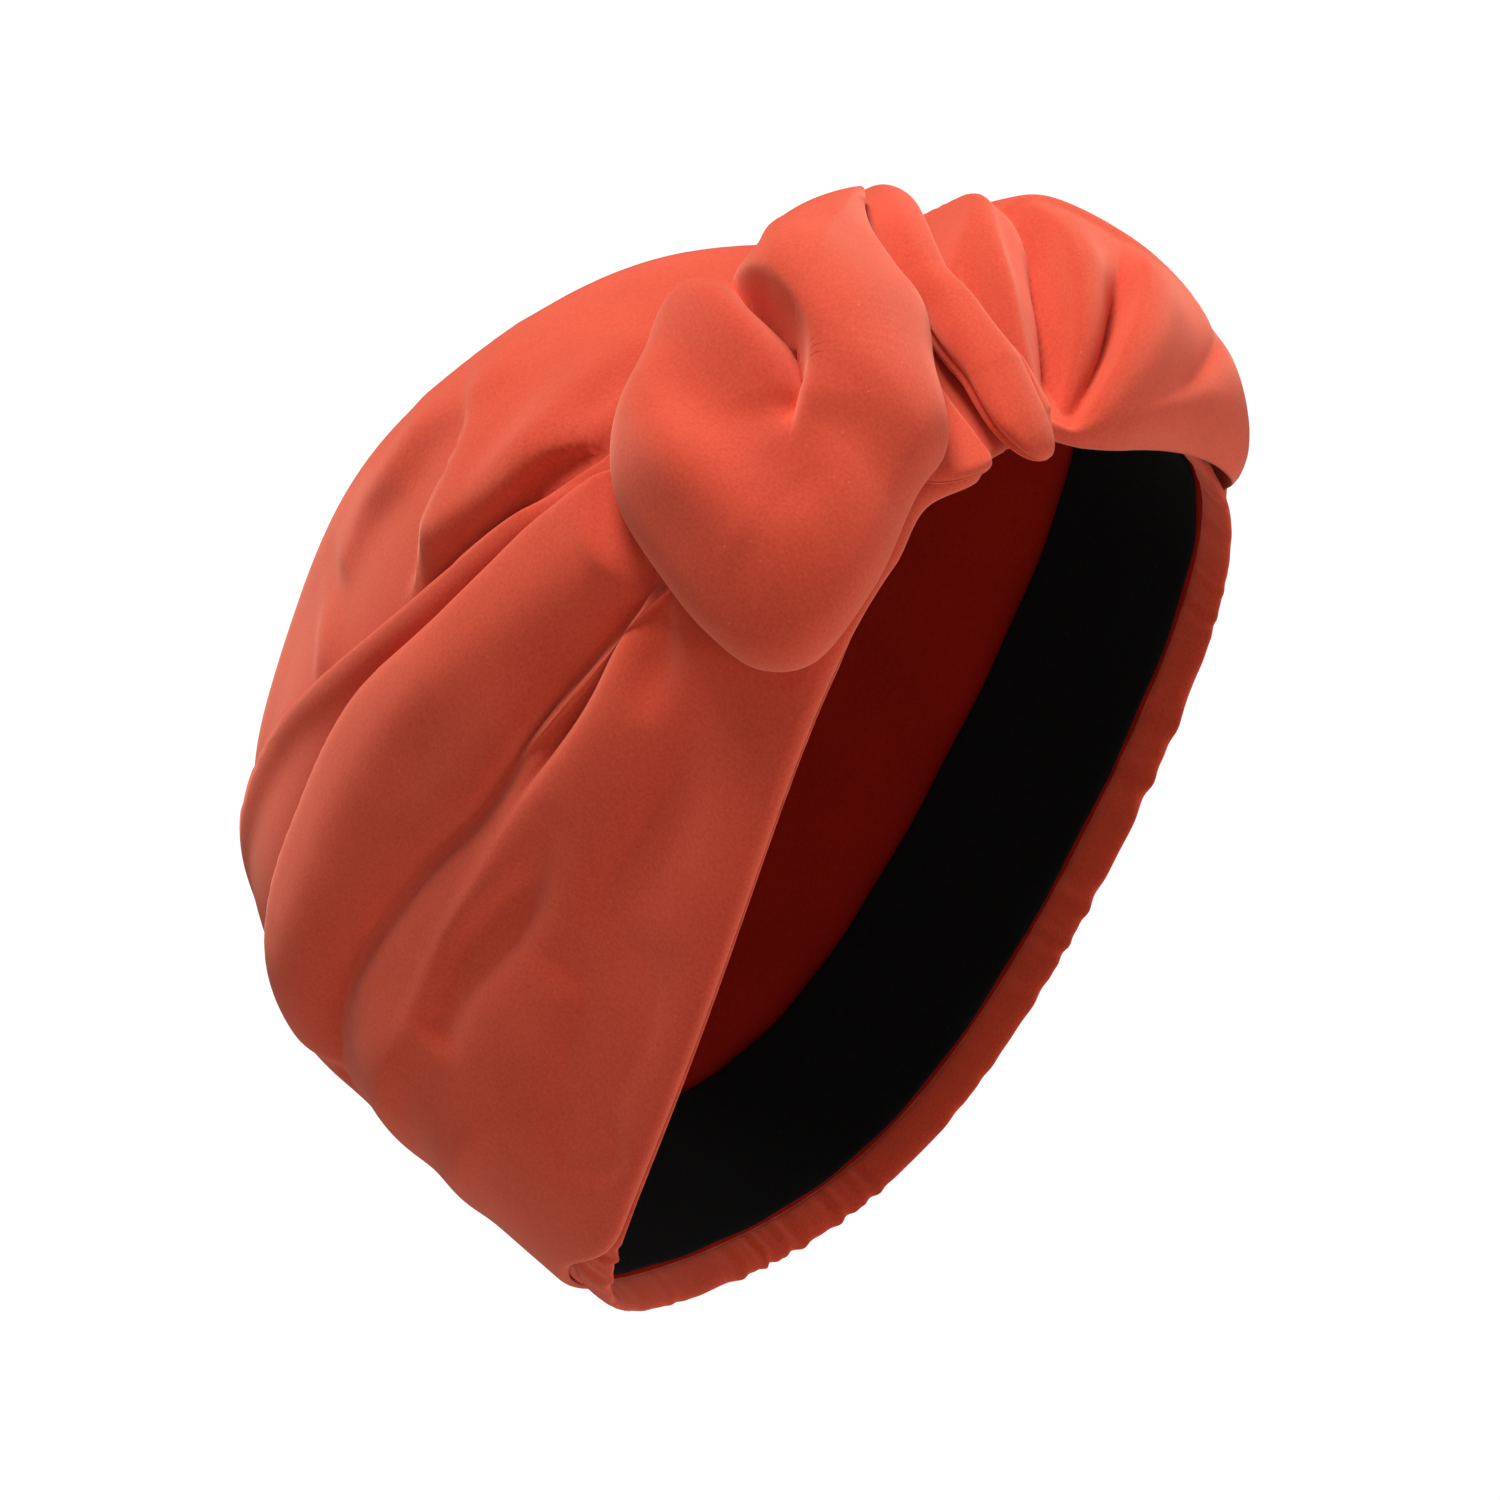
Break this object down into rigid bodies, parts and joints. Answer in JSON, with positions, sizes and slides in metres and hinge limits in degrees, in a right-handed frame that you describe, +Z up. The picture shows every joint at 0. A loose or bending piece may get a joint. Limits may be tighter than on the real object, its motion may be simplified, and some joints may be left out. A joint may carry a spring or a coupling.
{
  "type": "turban headwrap",
  "caption": "Soft pull-on turban: pleated cloth cap with crossed side wraps, a puffed front knot bound by a twisted roll, an inner band and a gathered rim casing.",
  "frame": {"origin": "middle of the head opening, where the cap sits on the head", "axes": "+Z up as worn on an upright head, -Y the way the wearer faces, +X the wearer's left; the plane of the opening is tilted 35 degrees, its front edge the higher"},
  "size_m": [0.1839, 0.2204, 0.1835],
  "materials": {
    "coral_cloth": "matte brushed stretch cloth, burnt coral",
    "black_knit": "matte black elastic knit",
    "casing_cloth": "matte stretch cloth gathered over elastic, deeper coral"
  },
  "bodies": {
    "root": {"crown": "coral_cloth", "wrap_right": "coral_cloth", "wrap_left": "coral_cloth", "knot_loop": "coral_cloth", "knot_tuck": "coral_cloth", "knot_roll": "coral_cloth", "sweatband": "black_knit", "hem": "casing_cloth"}
  },
  "joints": []
}
